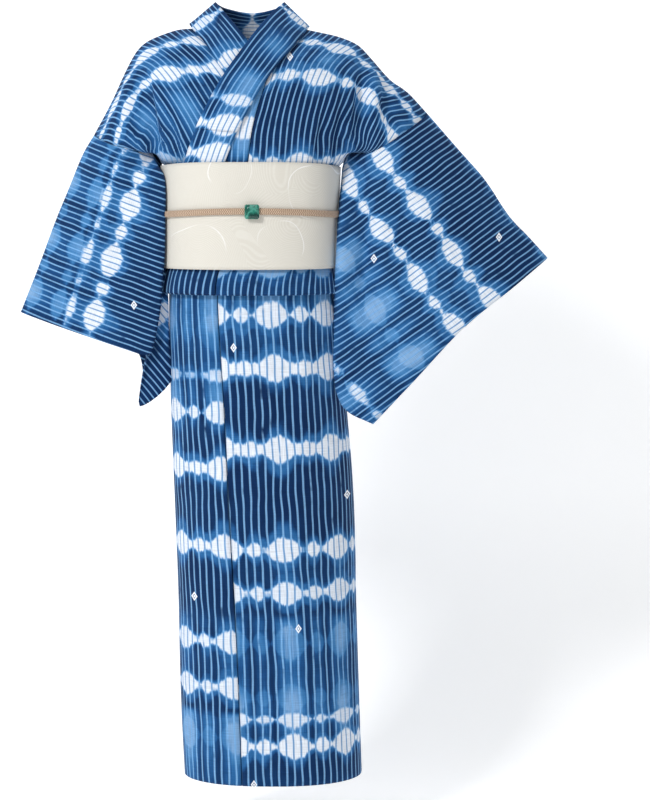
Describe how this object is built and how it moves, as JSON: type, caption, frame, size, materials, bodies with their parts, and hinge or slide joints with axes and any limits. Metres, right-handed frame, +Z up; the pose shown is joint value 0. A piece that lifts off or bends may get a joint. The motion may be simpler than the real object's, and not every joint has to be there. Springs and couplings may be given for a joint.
{
  "type": "cotton yukata robe with obi",
  "caption": "Worn cotton yukata robe: wrapped body panels, overlap panels, long sleeves and collar, with an obi sash, obijime cord and obidome clasp.",
  "frame": {"origin": "middle of the neck at the height of the shoulder line, where the wearer's shoulders carry the robe", "axes": "+Z up, the front of the robe faces -Y, +X towards the wearer's left arm"},
  "size_m": [0.8715, 0.2849, 1.2791],
  "materials": {
    "indigo_cotton": "matte slub cotton, indigo tie-dye with pale stripes",
    "obi_cloth": "matt off-white woven sash with fine ripples",
    "cord_braid": "tan flat braid",
    "clasp_glass": "polished green step-cut glass"
  },
  "bodies": {
    "root": {"body_left": "indigo_cotton", "body_right": "indigo_cotton", "okumi_left": "indigo_cotton", "okumi_right": "indigo_cotton", "eri": "indigo_cotton", "kake_eri": "indigo_cotton", "sleeve_left": "indigo_cotton", "sleeve_right": "indigo_cotton", "obi_band": "obi_cloth", "obi_tail": "obi_cloth", "obijime": "cord_braid", "obidome": "clasp_glass"}
  },
  "joints": []
}
